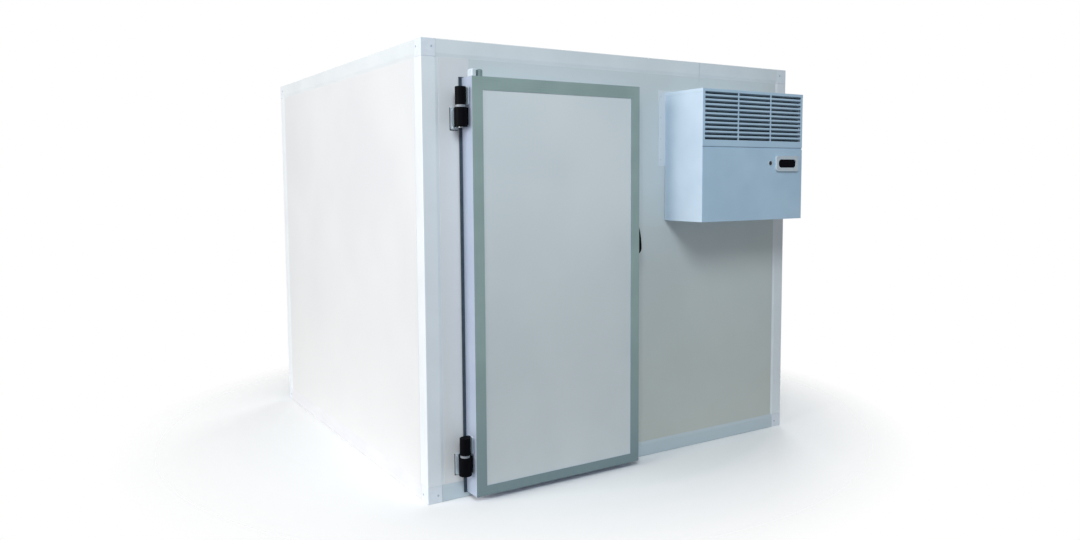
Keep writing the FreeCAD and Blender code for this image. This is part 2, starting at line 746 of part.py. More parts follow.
def handle_outline(body):
    """Front view of the handle: a straight back, and two arcs that meet at the widest point."""
    sketch = body.newObject("Sketcher::SketchObject", "handle_side")
    sketch.AttachmentSupport = [(origin_item(body, "XZ_Plane"), "")]
    sketch.MapMode = "FlatFace"
    bulge, peak, length = handle_bulge.value, handle_peak.value, handle_length.value
    low_radius = (bulge ** 2 + peak ** 2) / (2 * bulge)
    high_radius = (bulge ** 2 + (length - peak) ** 2) / (2 * bulge)
    low_circle = Part.Circle(Vector(bulge - low_radius, peak, 0), Vector(0, 0, 1), low_radius)
    high_circle = Part.Circle(Vector(bulge - high_radius, peak, 0), Vector(0, 0, 1), high_radius)
    sketch.addGeometry([
        Part.ArcOfCircle(low_circle, -math.asin(peak / low_radius), 0),
        Part.ArcOfCircle(high_circle, 0, math.asin((length - peak) / high_radius)),
        Part.LineSegment(Vector(0, length, 0), Vector()),
    ], False)
    sketch.addConstraint([
        Sketcher.Constraint("Coincident", 2, 2, -1, 1), Sketcher.Constraint("Coincident", 0, 1, 2, 2),
        Sketcher.Constraint("Tangent", 0, 2, 1, 1), Sketcher.Constraint("Coincident", 1, 2, 2, 1),
        Sketcher.Constraint("Vertical", 2), Sketcher.Constraint("Horizontal", 0, 3, 0, 2),
    ])
    for constraint, measure in (
        (Sketcher.Constraint("DistanceX", 0, 2, bulge), handle_bulge),
        (Sketcher.Constraint("DistanceY", 0, 2, peak), handle_peak),
        (Sketcher.Constraint("DistanceY", 2, 1, length), handle_length),
    ):
        index = sketch.addConstraint(constraint)
        sketch.setExpression(f"Constraints[{index}]", measure.formula)
    return sketch


def build_fittings():
    """Corner cap and buffer on the leaf's top, edge handle, keeper and inside release."""
    node(soft_block("leaf_corner_cap", leaf_x, leaf_front, cap_width, cap_depth, cap_height, cap_round))
    node(soft_block("leaf_corner_buffer", leaf_x + cap_width + buffer_gap, leaf_front, buffer_width,
                    buffer_depth, buffer_height, buffer_round))
    handle = new_body("leaf_handle")
    grip = pad(handle, handle_outline(handle), handle_depth, reverse=True)
    round_edges(handle, grip, handle_round,
                lambda edge, middle: middle.x > handle_round.value and not runs_along(edge, "y"))
    node(put(handle, leaf_right, leaf_front, latch_height - handle_length / 2))
    keeper = new_body("latch_keeper")
    reach = leaf_standoff + leaf_thickness - handle_depth - keeper_gap + panel_setback
    plan = [
        (0, 0), (keeper_width, 0), (keeper_width, reach - keeper_nose), (keeper_width - keeper_nose, reach),
        (0, reach),
    ]
    plan = [(x, -as_size(y)) for x, y in plan]
    pad(keeper, draw(keeper, "keeper_plan", "XY_Plane", plan), keeper_height)
    node(put(keeper, leaf_right + keeper_gap, front + panel_setback, latch_height - keeper_height / 2))
    release = new_body("inside_release")
    disc = release.newObject("PartDesign::AdditiveCylinder", "release_disc")
    bind(disc, Radius=release_radius, Height=release_depth)
    half_depth = release_depth.value / 2
    round_edges(release, disc, release_round,
                lambda edge, middle: edge.Curve.TypeId == "Part::GeomCircle" and middle.z > half_depth)
    node(put(release, doorway_right - release_margin - release_radius, leaf_back - leaf_metal, latch_height,
             turn=Rotation(Vector(1, 0, 0), -90)))


def build_grille(front_x, width):
    """The louvred upper front: rows of slots in three columns, each row with a slat slanting inwards."""
    grille = new_body("unit_grille")
    metal = unit_metal
    column = (width - slot_side_margin * 2 - mullion_width * (slot_columns - 1)) / slot_columns
    slot_top = grille_height - slot_top_margin
    row = [rectangle(slot_side_margin + (column + mullion_width) * number, slot_top - slot_height,
                     column, slot_height) for number in range(slot_columns)]
    plate = rectangle(0, 0, width, grille_height - lid_metal)
    pad(grille, draw(grille, "grille_plate", "XZ_Plane", plate), metal, reverse=True)
    slots = pocket(grille, draw(grille, "slot_row", "XZ_Plane", *row), metal)
    span = slot_pitch * (slot_rows - 1)
    repeat(grille, slots, "Z_Axis", span, slot_rows, reverse=True)
    root = metal / 2
    slat_section = [
        (root, slot_top + slat_metal), (root, slot_top + slat_metal * 2),
        (metal, slot_top + slat_metal * 2),
        (metal + slat_throw, slot_top + slat_metal * 2 - slat_drop),
        (metal + slat_throw, slot_top + slat_metal - slat_drop), (metal, slot_top + slat_metal),
    ]
    inset = slot_side_margin / 2
    slat_outline = draw(grille, "slat_section", "YZ_Plane", slat_section, offset=inset)
    slat = pad(grille, slat_outline, width - inset * 2)
    repeat(grille, slat, "Z_Axis", span, slot_rows, reverse=True)
    node(put(grille, front_x, unit_front, grille_bottom))


def build_unit():
    """The cooling unit's sheet casing, lid, louvred front, cover, controls and wall plug."""
    metal = unit_metal
    side = lid_metal
    inner_x = unit_x + side
    inner_width = unit_width - side * 2
    casing_depth = unit_depth - metal - (flange_metal - panel_setback)
    casing_height = unit_height - side
    shell = block("casing_outer", (inner_x, unit_front + metal, unit_bottom),
                  (inner_width, casing_depth, casing_height))
    hollow = block("casing_hollow", (inner_x + metal, unit_front, unit_bottom + metal),
                   (inner_width - metal * 2, casing_depth, casing_height))
    node(cut("unit_casing", shell, hollow))
    lid_depth = casing_depth + metal
    lid = block("lid_outer", (unit_x, unit_front, unit_top - lid_lip), (unit_width, lid_depth, lid_lip))
    under_lid = block("lid_hollow", (inner_x, unit_front, unit_top - lid_lip),
                      (inner_width, lid_depth, lid_lip - side))
    node(cut("unit_lid", lid, under_lid))
    build_grille(inner_x, inner_width)
    cover = new_body("unit_front_cover")
    cover_height = unit_height - grille_height - panel_joint
    pad(cover, draw(cover, "cover_face", "XZ_Plane", rectangle(0, 0, inner_width, cover_height)), metal,
        reverse=True)
    behind = metal + cover_lap
    lip_top = cover_height + panel_joint + cover_lip
    fold = draw(cover, "cover_fold", "YZ_Plane",
                [(metal / 2, cover_height - metal), (behind + side, cover_height - metal),
                 (behind + side, lip_top), (behind, lip_top), (behind, cover_height),
                 (metal / 2, cover_height)], offset=metal)
    pad(cover, fold, inner_width - metal * 2)
    node(put(cover, inner_x, unit_front, unit_bottom))
    window_width = bezel_width - display_side_margin * 2
    window_height = bezel_height - display_margin * 2
    bezel_x = unit_x + unit_width - bezel_side_margin - bezel_width
    bezel_z = grille_bottom - bezel_drop - bezel_height
    face = rounded_plate("bezel_face", "XZ_Plane", rectangle(0, 0, bezel_width, bezel_height), bezel_depth,
                         bezel_corner, (bezel_x, unit_front - bezel_depth, bezel_z), "y")
    window = rectangle(display_side_margin, display_margin, window_width, window_height)
    hole = rounded_plate("bezel_window", "XZ_Plane", window, bezel_depth, display_corner,
                         (bezel_x, unit_front - bezel_depth, bezel_z), "y")
    node(cut("control_bezel", face, hole))
    node(rounded_plate("control_display", "XZ_Plane", window, display_depth, display_corner,
                       (bezel_x, unit_front - display_depth, bezel_z), "y"))
    wall_face = front + panel_setback
    node(block("unit_flange", (unit_x - flange_border, wall_face - flange_metal, flange_bottom),
               (unit_width + flange_border * 2, flange_metal, flange_height)))
    node(block("unit_plug", (plug_x, wall_face, plug_z), (plug_width, wall_thickness, plug_height)))
    inner_cover = new_body("unit_inner_cover")
    cover_outline = rectangle(0, 0, plug_width + plug_border * 2, plug_height + plug_border * 2)
    face = pad(inner_cover, draw(inner_cover, "inner_cover_face", "XZ_Plane", cover_outline),
               inner_cover_depth, reverse=True)
    depth = inner_cover_depth.value
    round_edges(inner_cover, face, inner_cover_round,
                lambda edge, middle: runs_along(edge, "y") or middle.y > depth / 2)
    node(put(inner_cover, plug_x - plug_border, front + inner_depth, plug_z - plug_border))
    node(block("condenser_coil", (inner_x + metal, unit_front + coil_setback, grille_bottom),
               (inner_width - metal * 2, coil_depth, grille_height - side)))


build_shell()
build_doorway()
build_leaf()
build_hinges()
build_fittings()
build_unit()
doc.recompute()

broken = [obj.Label for obj in doc.Objects if {"Invalid", "Error"} & set(obj.State)]
assert not broken, f"failed objects: {broken}"
for piece in nodes:
    assert not piece.Shape.isNull() and piece.Shape.isValid(), f"bad shape: {piece.Label}"
assert len({piece.Label for piece in nodes}) == len(nodes), "two nodes share a name"
for piece in nodes:
    piece.Shape.exportStep(f"parts/{piece.Label}.step")
    print(piece.Label, len(piece.Shape.Solids), round(piece.Shape.Volume / 1e6, 3))
print(len(nodes), "nodes")
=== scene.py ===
# %% [markdown]
# # A walk-in cold room
#
# A walk-in cold room is a box of insulated panels that is bolted together on site. Each panel is a
# foam core between two coated steel sheets, and white profiles cover every edge and corner. An
# insulated door hangs on two rising hinges, and a cooling unit is hung through the front wall.
#
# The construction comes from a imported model, already at its real size. This script gives every
# surface its finish, adds the small parts that are too fine for the construction model, and sets
# up the light and the camera.

# %% Load the frame
import math
import bmesh
import bpy
from mathutils import Matrix, Vector


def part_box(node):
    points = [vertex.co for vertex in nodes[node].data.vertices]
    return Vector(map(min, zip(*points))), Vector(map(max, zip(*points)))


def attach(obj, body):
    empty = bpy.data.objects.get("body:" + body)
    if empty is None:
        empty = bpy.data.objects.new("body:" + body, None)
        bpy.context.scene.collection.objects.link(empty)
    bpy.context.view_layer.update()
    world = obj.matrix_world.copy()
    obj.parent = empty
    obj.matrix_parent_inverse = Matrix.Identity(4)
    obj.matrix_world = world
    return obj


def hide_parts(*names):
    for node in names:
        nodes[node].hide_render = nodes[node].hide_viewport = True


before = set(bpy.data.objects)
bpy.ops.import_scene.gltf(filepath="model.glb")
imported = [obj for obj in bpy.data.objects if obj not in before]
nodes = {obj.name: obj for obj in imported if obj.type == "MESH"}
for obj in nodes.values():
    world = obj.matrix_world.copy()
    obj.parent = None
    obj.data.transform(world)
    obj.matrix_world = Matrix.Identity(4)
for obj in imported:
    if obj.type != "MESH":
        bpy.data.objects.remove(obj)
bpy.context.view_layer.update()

# %% [markdown]
# ## Where things are
#
# Blender works in metres and this object is drawn in millimetres, so one value turns the one into
# the other. Every place below is worked out from those corners, so the small parts stay on their
# carriers if a size changes.

# %% Millimetres and boxes
MM = 0.001
room_low, room_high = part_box("bottom_rails")[0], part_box("top_rails")[1]

print("room:", [round(v, 3) for v in room_high - room_low])

# %% [markdown]
# ## Two helpers for materials
#
# Colours are written as sRGB hex values, the way a paint maker's chart shows them, and one function
# turns them into the linear values that the renderer counts in. A second small function adds any
# shader node: its settings first, then its inputs, each of which is a plain value or another node's
# output. Nearly every finish below reads Object coordinates, so a pattern has its size in metres.

# %% Colour and node helpers
def paint(code):
    """An sRGB hex colour as linear red, green, blue and alpha."""
    channels = [int(code[index:index + 2], 16) / 255 for index in (1, 3, 5)]
    linear = [c / 12.92 if c <= 0.04045 else ((c + 0.055) / 1.055) ** 2.4 for c in channels]
    return (*linear, 1.0)


def add(tree, kind, inputs=None, **settings):
    """Add one node: its settings, then its inputs by name or number."""
    made = tree.nodes.new(kind)
    for name, value in settings.items():
        setattr(made, name, value)
    for name, value in (inputs or {}).items():
        if isinstance(value, bpy.types.NodeSocket):
            tree.links.new(value, made.inputs[name])
        else:
            made.inputs[name].default_value = value
    return made


print("white paint in linear light:", [round(v, 3) for v in paint("#DDE2E4")])

# %% [markdown]
# ## The parts that most finishes share
#
# A real coated sheet is never one flat colour. Its tone drifts a little over each square metre, and
# its surface has a fine texture from the way it was made. `start_finish` sets up a Principled
# shader with the plain values on its own sockets. `drift` mixes two close tones by a soft noise of a
# given real size, and `relief` turns a pattern into a shallow bump of a given depth.

# %% Shared material steps
def start_finish(name, metallic, roughness, ior=1.5, coat=0.0, coat_roughness=0.1):
    """A new material with its Principled shader. Returns material, tree, shader and object coordinates."""
    material = bpy.data.materials.new(name)
    material.use_nodes = True
    tree = material.node_tree
    tree.nodes.clear()
    shader = add(tree, "ShaderNodeBsdfPrincipled", {
        "Metallic": metallic, "Roughness": roughness, "IOR": ior,
        "Coat Weight": coat, "Coat Roughness": coat_roughness,
    })
    add(tree, "ShaderNodeOutputMaterial", {"Surface": shader.outputs["BSDF"]})
    place = add(tree, "ShaderNodeTexCoord").outputs["Object"]
    return material, tree, shader, place


def stretched(tree, place, x, y, z):
    """Object coordinates with each axis scaled, so that a round pattern becomes a grain."""
    return add(tree, "ShaderNodeMapping", {"Vector": place, "Scale": (x, y, z)}).outputs["Vector"]


def noise(tree, place, size_mm, detail=2.0, roughness=0.5):
    """A soft noise whose patches are about size_mm across, from 0 to 1."""
    return add(tree, "ShaderNodeTexNoise", {
        "Vector": place, "Scale": 1 / (size_mm * MM), "Detail": detail, "Roughness": roughness,
    }).outputs["Fac"]


def between(tree, value, low, high, new_low=0.0, new_high=1.0):
    """A value moved from one range to another, and held inside it."""
    return add(tree, "ShaderNodeMapRange", {
        "Value": value, "From Min": low, "From Max": high, "To Min": new_low, "To Max": new_high,
    }).outputs["Result"]


def blend_colours(tree, share, first, second):
    """Two colours mixed by a share from 0 to 1. Each is a hex code or another node's output."""
    mix = add(tree, "ShaderNodeMix", data_type="RGBA")
    tree.links.new(share, mix.inputs["Factor"])
    for socket, colour in zip((mix.inputs[6], mix.inputs[7]), (first, second)):
        if isinstance(colour, str):
            socket.default_value = paint(colour)
        else:
            tree.links.new(colour, socket)
    return mix.outputs[2]


def relief(tree, shader, height, depth_mm, strength=1.0):
    """A bump of a real depth from a pattern that runs from 0 to 1."""
    bump = add(tree, "ShaderNodeBump", {"Height": height, "Distance": depth_mm * MM, "Strength": strength})
    tree.links.new(bump.outputs["Normal"], shader.inputs["Normal"])


# %% [markdown]
# ## Polyester-coated steel sheet
#
# The panels' faces are galvanised steel, coated in a coil line and then bonded to the foam. The eye
# sees a satin near-white that drifts in tone over half a metre, with very shallow waves where the
# foam has pulled the sheet. Low down the sheet turns darker and patchy: painted shade near the floor.
# The real waves are under half a millimetre deep. They are drawn about 1 mm deep, and still show only
# as a slow change in the shading. The front wall over the door and right of it is a darker, cooler
# copy of the same sheet: painted shade. The door leaf has tones of its own, with more painted shade low down.

# %% Sheet finish
LOW_SHADE_TOP, LOW_SHADE_STRENGTH = 1.5, 0.8


def sheet_finish(name, tone, drifted, low_shade_tone):
    """Coated sheet: slow drift of tone, painted shade low down, and shallow waves."""
    material, tree, shader, place = start_finish(name, metallic=0.0, roughness=0.5, ior=1.49)
    drift = between(tree, noise(tree, place, 620), 0.35, 0.65)
    body = blend_colours(tree, drift, tone, drifted)
    height = add(tree, "ShaderNodeSeparateXYZ", {"Vector": place}).outputs["Z"]
    # painted shade: the sheet turns darker and patchy towards the floor, where less light reaches
    low_down = between(tree, height, 0.0, LOW_SHADE_TOP, 1.0, 0.0)
    patchy = between(tree, noise(tree, place, 260, detail=3.0), 0.2, 0.8, 0.7, 1.0)
    low_shade = add(tree, "ShaderNodeMath", {0: low_down, 1: patchy}, operation="MULTIPLY").outputs[0]
    low_shade = add(tree, "ShaderNodeMath", {0: low_shade, 1: LOW_SHADE_STRENGTH}, operation="MULTIPLY").outputs[0]
    tree.links.new(blend_colours(tree, low_shade, body, low_shade_tone), shader.inputs["Base Color"])
    waves = noise(tree, place, 380, detail=1.0)
    relief(tree, shader, waves, depth_mm=1.1)
    return material


wall_sheet = sheet_finish("polyester_coated_steel_sheet", "#D9DBDD", "#D4D6D9", "#D8D9D9")
# painted shade: a darker, cooler copy of the wall sheet, with a darker, warmer tone low down
shaded_front_sheet = sheet_finish("polyester_coated_front_sheet_painted_shade", "#CCD4D6", "#C6CFD1", "#B7B9AE")
leaf_sheet = sheet_finish("polyester_coated_leaf_sheet", "#DAE0E2", "#D2D9DC", "#BCC2C4")
print("made:", wall_sheet.name, shaded_front_sheet.name, leaf_sheet.name)

# %% [markdown]
# ## White extruded profiles and moulded corner blocks
#
# The posts and rails are extruded, so the die leaves very fine lines along their length. Those
# lines are finer than a pixel here, and they are drawn 5 mm apart and only a hair deep. The
# corner blocks are injection-moulded ABS, with the fine even grain of a spark-eroded mould. The
# foot rail's front face is darker and bluer than its other three sides: painted shade.

# %% Profile and block finishes
FRONT_SHADE_DEPTH = 20 * MM


def profile_finish(name, tone, drifted, along, front_shade=None):
    """Extruded white profile. along is the axis of its length, front_shade a painted-shade tone for the front
    face.
    """
    material, tree, shader, place = start_finish(name, metallic=0.0, roughness=0.34, ior=1.51)
    grain_scale = [0.01 if axis == along else 1.0 for axis in "xyz"]
    lines = noise(tree, stretched(tree, place, *grain_scale), 5, detail=3.0)
    drift = between(tree, noise(tree, place, 240), 0.3, 0.7)
    body = blend_colours(tree, drift, tone, drifted)
    # painted shade: a darker, bluer tone on the rail's front face
    if front_shade:
        depth = add(tree, "ShaderNodeSeparateXYZ", {"Vector": place}).outputs["Y"]
        on_front = between(tree, depth, room_low.y, room_low.y + FRONT_SHADE_DEPTH, 1.0, 0.0)
        body = blend_colours(tree, on_front, body, front_shade)
    tree.links.new(body, shader.inputs["Base Color"])
    relief(tree, shader, lines, depth_mm=0.05, strength=0.7)
    return material


def moulded_finish(name, tone, drifted, roughness, grain_mm=1.2, grain_depth=0.06, ior=1.53, gloss=0.5):
    """Injection-moulded plastic with an even spark-eroded grain."""
    material, tree, shader, place = start_finish(name, metallic=0.0, roughness=roughness, ior=ior)
    shader.inputs["Specular IOR Level"].default_value = gloss
    drift = between(tree, noise(tree, place, 30), 0.3, 0.7)
    tree.links.new(blend_colours(tree, drift, tone, drifted), shader.inputs["Base Color"])
    relief(tree, shader, noise(tree, place, grain_mm, detail=4.0), grain_depth)
    return material


post_profile = profile_finish("white_pvc_post_profile", "#E0E6EA", "#DADFE4", "z")
rail_profile = profile_finish("white_pvc_rail_profile", "#D9DFE2", "#D1D8DC", "x")
foot_profile = profile_finish("front_shaded_pvc_rail_profile", "#D9DADD", "#D3D4D8", "x", "#BBC8CF")
white_abs = moulded_finish("white_abs_corner_block", "#DCE2E9", "#D5DCE4", 0.4)
jamb_pvc = profile_finish("grey_white_pvc_jamb", "#CDD3D6", "#C4CBCF", "z")
print("made:", post_profile.name, rail_profile.name, white_abs.name, jamb_pvc.name)

# %% [markdown]
# ## Lacquered aluminium
#
# The door's edge profile is aluminium, brushed along its length and then lacquered grey-green on its
# face. The lacquer is thin, so a little of the metal's blurred reflection comes through it. The
# profile's outer side is lacquered white. One finish draws both: the normal tells the face, which
# looks along Y, from the side. Near the floor the face is darker: painted shade, where less light
# reaches it. The brushing is a noise stretched a hundredfold along the profile. The sill is bare milled
# aluminium.

# %% Aluminium finish
FLOOR_SHADE_TONE = "#6C7F86"
FLOOR_SHADE_TOP, FLOOR_SHADE_SHARE = 0.8, 0.8


def aluminium_finish(name, face_tones, side_tones, along, metallic=0.35, roughness=0.5):
    """Brushed aluminium under a thin lacquer, with one pair of tones on its face and one on its side."""
    material, tree, shader, place = start_finish(name, metallic=metallic, roughness=roughness)
    grain_scale = [0.01 if axis == along else 1.0 for axis in "xyz"]
    brushing = noise(tree, stretched(tree, place, *grain_scale), 2.5, detail=4.0, roughness=0.65)
    soft = noise(tree, place, 160)
    mixed = add(tree, "ShaderNodeMath", {0: brushing, 1: soft}, operation="ADD").outputs[0]
    drift = between(tree, mixed, 0.7, 1.3)
    normal = add(tree, "ShaderNodeTexCoord").outputs["Normal"]
    facing = add(tree, "ShaderNodeSeparateXYZ", {"Vector": normal}).outputs["Y"]
    squared = add(tree, "ShaderNodeMath", {0: facing, 1: facing}, operation="MULTIPLY").outputs[0]
    is_face = between(tree, squared, 0.3, 0.7)
    side = blend_colours(tree, drift, *side_tones)
    height = add(tree, "ShaderNodeSeparateXYZ", {"Vector": place}).outputs["Z"]
    # painted shade: the face darkens towards the floor
    floor_shade = between(tree, height, 0.0, FLOOR_SHADE_TOP, FLOOR_SHADE_SHARE, 0.0)
    face = blend_colours(tree, floor_shade, blend_colours(tree, drift, *face_tones), FLOOR_SHADE_TONE)
    tree.links.new(blend_colours(tree, is_face, side, face), shader.inputs["Base Color"])
    relief(tree, shader, brushing, depth_mm=0.03, strength=0.6)
    return material


FACE_TONES, SIDE_TONES = ("#8DA2A0", "#819695"), ("#B2BDCF", "#A9B4C8")
stile_aluminium = aluminium_finish("lacquered_aluminium_upright", FACE_TONES, SIDE_TONES, "z")
rail_aluminium = aluminium_finish("lacquered_aluminium_level", FACE_TONES, SIDE_TONES, "x")
SILL_TONES = ("#B5BABC", "#A5ABAE")
sill_aluminium = aluminium_finish("milled_aluminium_sill", SILL_TONES, SILL_TONES, "x", 0.9, 0.36)
print("made:", stile_aluminium.name, rail_aluminium.name, sill_aluminium.name)

# %% [markdown]
# ## Black nylon, rubber and acetal
#
# Hinge knuckles and the handle are glass-filled nylon, a deep black with hardly any highlight. The
# seal and the buffer are grey rubber. The cams between the knuckles are acetal, a waxy pale grey
# plastic that slides well. The cap on the leaf's top corner is white nylon.

# %% Plastic and rubber finishes
black_nylon = moulded_finish("black_glass_filled_nylon", "#030306", "#050609", 0.5, 1.6, 0.05, gloss=0.03)
seal_rubber = moulded_finish("grey_seal_rubber", "#35434F", "#2B3843", 0.62, 3.0, 0.08, gloss=0.3)
buffer_rubber = moulded_finish("grey_buffer_rubber", "#7F9192", "#748788", 0.6, 2.0, 0.08, gloss=0.3)
pale_acetal = moulded_finish("pale_acetal_cam", "#8F949D", "#858A92", 0.4, 2.0, 0.02, ior=1.48, gloss=0.3)
white_nylon = moulded_finish("white_nylon_cap", "#C6D0D8", "#BECAD3", 0.45, 1.5, 0.03)
print("made:", black_nylon.name, seal_rubber.name, pale_acetal.name)

# %% [markdown]
# ## Zinc-plated and stainless steel
#
# The screws are zinc-plated steel, whose tone changes in soft cloudy patches, because the plating
# grows in crystals. The pins are stainless steel, turned on a lathe. The hinge plates are steel
# under a pale grey paint, and they have a finish of their own below.

# %% Steel finishes
def plated_finish(name, tone, drifted, roughness, cloud_mm):
    """Plated or polished steel with soft clouds of tone."""
    material, tree, shader, place = start_finish(name, metallic=1.0, roughness=roughness)
    clouds = between(tree, noise(tree, place, cloud_mm, detail=3.0), 0.3, 0.7)
    tree.links.new(blend_colours(tree, clouds, tone, drifted), shader.inputs["Base Color"])
    relief(tree, shader, noise(tree, place, cloud_mm / 6, detail=2.0), depth_mm=0.02)
    return material


zinc_plate = plated_finish("zinc_plated_steel", "#CDD6DE", "#BBC6D0", 0.33, 9)
pin_steel = plated_finish("stainless_steel_pin", "#8F9498", "#7F858A", 0.4, 14)
plate_paint = moulded_finish("pale_grey_plate_paint", "#C4D0DA", "#BBC8D3", 0.42, 2.5, 0.03)
print("made:", zinc_plate.name, pin_steel.name)

# %% [markdown]
# ## Powder-coated casing
#
# The cooling unit is folded steel sheet with a pale blue-grey powder coat. Powder melts into a film
# with a fine skin like that of an orange, about a millimetre and a half from bump to bump, under a
# satin gloss. The tone drifts a little where the film is thinner. The front cover and grille get a
# darker, bluer copy of the same coat: painted shade.

# %% Powder coat finish
def powder_finish(name, tone, drifted):
    """Powder coat: soft drift of tone and an orange-peel skin."""
    material, tree, shader, place = start_finish(
        name, metallic=0.0, roughness=0.45, ior=1.5, coat=0.25, coat_roughness=0.3)
    drift = between(tree, noise(tree, place, 210), 0.35, 0.65)
    tree.links.new(blend_colours(tree, drift, tone, drifted), shader.inputs["Base Color"])
    skin = noise(tree, place, 1.8, detail=1.0)
    relief(tree, shader, skin, depth_mm=0.05, strength=0.8)
    return material


casing_coat = powder_finish("powder_coated_casing", "#CBDCEB", "#C3D5E5")
# painted shade: the front cover and grille get a darker copy of the casing's coat
shaded_cover_coat = powder_finish("powder_coated_cover_painted_shade", "#B2CCE0", "#AAC5DA")
print("made:", casing_coat.name, shaded_cover_coat.name)

# %% [markdown]
# ## The control panel and the inside
#
# The bezel is silver-painted plastic, and the display behind it is smoked acrylic, almost black. The
# floor inside is a grey vinyl-coated board with a fine pebble. No picture shows it, so it is a guess.

# %% Remaining finishes
silver_abs = moulded_finish("silver_painted_abs", "#C3CED6", "#B9C5CE", 0.3, 1.2, 0.02)
smoked_acrylic = moulded_finish("smoked_acrylic", "#02030A", "#04060E", 0.3, 25.0, 0.01, gloss=0.02)
flange_coat = sheet_finish("coated_flange_sheet", "#D6DDE2", "#CFD7DC", "#C9CFD3")
floor_vinyl = moulded_finish("pebbled_floor_vinyl", "#A9AFB1", "#9DA4A7", 0.6, 4.0, 0.5)
print("made:", silver_abs.name, smoked_acrylic.name, floor_vinyl.name)

# %% [markdown]
# ## Give every construction piece its finish
#
# A construction piece keeps its shape, and only its material slots change. The rails run along both
# X and Y, but their lines are too fine to tell, so all rails of one level share a finish.

# %% Assign the finishes
finish_of = {
    wall_sheet: ("ceiling_panel", "left_wall", "right_wall", "back_wall", "front_wall_left"),
    # painted shade: the front walls over and right of the door take the shaded copy of the sheet
    shaded_front_sheet: ("front_wall_over_door", "front_wall_right"),
    leaf_sheet: ("leaf_core",),
    post_profile: ("corner_posts",),
    rail_profile: ("top_rails",),
    foot_profile: ("bottom_rails",),
    white_abs: ("bottom_corner_blocks", "top_corner_blocks"),
    jamb_pvc: ("door_jamb_left", "door_jamb_right", "door_head"),
    stile_aluminium: ("leaf_stile_hinge_side", "leaf_stile_latch_side"),
    rail_aluminium: ("leaf_rail_top", "leaf_rail_bottom"),
    sill_aluminium: ("door_sill",),
    seal_rubber: ("leaf_gasket",),
    black_nylon: ("hinge_wall_knuckles", "hinge_leaf_knuckles", "leaf_handle", "latch_keeper",
                  "inside_release"),
    pale_acetal: ("hinge_fixed_cams", "hinge_lift_cams"),
    plate_paint: ("hinge_wall_plates", "hinge_leaf_plates"),
    pin_steel: ("hinge_pins",),
    white_nylon: ("leaf_corner_cap",),
    buffer_rubber: ("leaf_corner_buffer",),
    casing_coat: ("unit_casing", "unit_lid"),
    flange_coat: ("unit_flange", "unit_plug", "unit_inner_cover"),
    shaded_cover_coat: ("unit_grille", "unit_front_cover"),
    silver_abs: ("control_bezel",),
    smoked_acrylic: ("control_display",),
    floor_vinyl: ("floor_panel",),
}
dressed = set()
for material, names in finish_of.items():
    for name in names:
        mesh = nodes[name].data
        mesh.materials.clear()
        mesh.materials.append(material)
        dressed.add(name)
print("dressed:", len(dressed), "left:", sorted(set(nodes) - dressed))

# %% [markdown]
# ## A helper for turned parts
#
# Screws, plugs and lamps are turned parts: an outline spun about an axis. `turned` spins a short
# outline of radius and height pairs, in millimetres, into a closed mesh about Z. Its first and last
# point lie on the axis, so both ends close in a point.

# %% Turned meshes
def turned(name, outline, sides=20):
    """A closed mesh spun about Z from (radius, height) pairs in millimetres, both ends on the axis."""
    points = [(0, 0, outline[0][1] * MM)]
    for radius, height in outline[1:-1]:
        for side in range(sides):
            angle = math.tau * side / sides
            points.append((radius * MM * math.cos(angle), radius * MM * math.sin(angle), height * MM))
    points.append((0, 0, outline[-1][1] * MM))
    rings = len(outline) - 2
    faces = [(0, 1 + (side + 1) % sides, 1 + side) for side in range(sides)]
    for ring in range(rings - 1):
        start = 1 + ring * sides
        for side in range(sides):
            following = (side + 1) % sides
            faces.append((start + side, start + following, start + sides + following, start + sides + side))
    last = 1 + (rings - 1) * sides
    faces += [(last + side, last + (side + 1) % sides, len(points) - 1) for side in range(sides)]
    mesh = bpy.data.meshes.new(name)
    mesh.from_pydata(points, [], faces)
    mesh.update()
    for polygon in mesh.polygons:
        polygon.use_smooth = True
    return mesh


def stand_alone(name, mesh, material, body):
    """Show a mesh as a piece that rides on a body."""
    piece = bpy.data.objects.new(name, mesh)
    bpy.context.scene.collection.objects.link(piece)
    mesh.materials.clear()
    mesh.materials.append(material)
    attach(piece, body)
    return piece


# %% [markdown]
# ## A helper for small moulded blocks
#
# No moulded part has a sharp edge. `moulded_block` makes a box between two corners and rounds every
# edge by a real radius.

# %% Rounded blocks
def moulded_block(name, boxes, radius):
    """One mesh of boxes, each from its low and high corner, with every edge rounded."""
    shape = bmesh.new()
    for low, high in boxes:
        place = Matrix.Translation((low + high) / 2) @ Matrix.Diagonal((*(high - low), 1))
        bmesh.ops.create_cube(shape, size=1, matrix=place)
    bmesh.ops.bevel(shape, geom=list(shape.edges), offset=radius, segments=3, profile=0.5, affect="EDGES")
    mesh = bpy.data.meshes.new(name)
    shape.to_mesh(mesh)
    shape.free()
    return mesh


# %% [markdown]
# ## Geometry Nodes for what repeats
#
# The same small part sits in many places: a plug on each face of each corner block, screws round a
# flange. A node tree makes them: it takes a mesh of loose points, turns each instance to the face
# that its point stands on, and realizes the copies. The tree has three named inputs, the part, its
# scale and its material. `scattered` runs it, keeps the result as a plain mesh and drops the
# modifier, because an export would lose the instances.

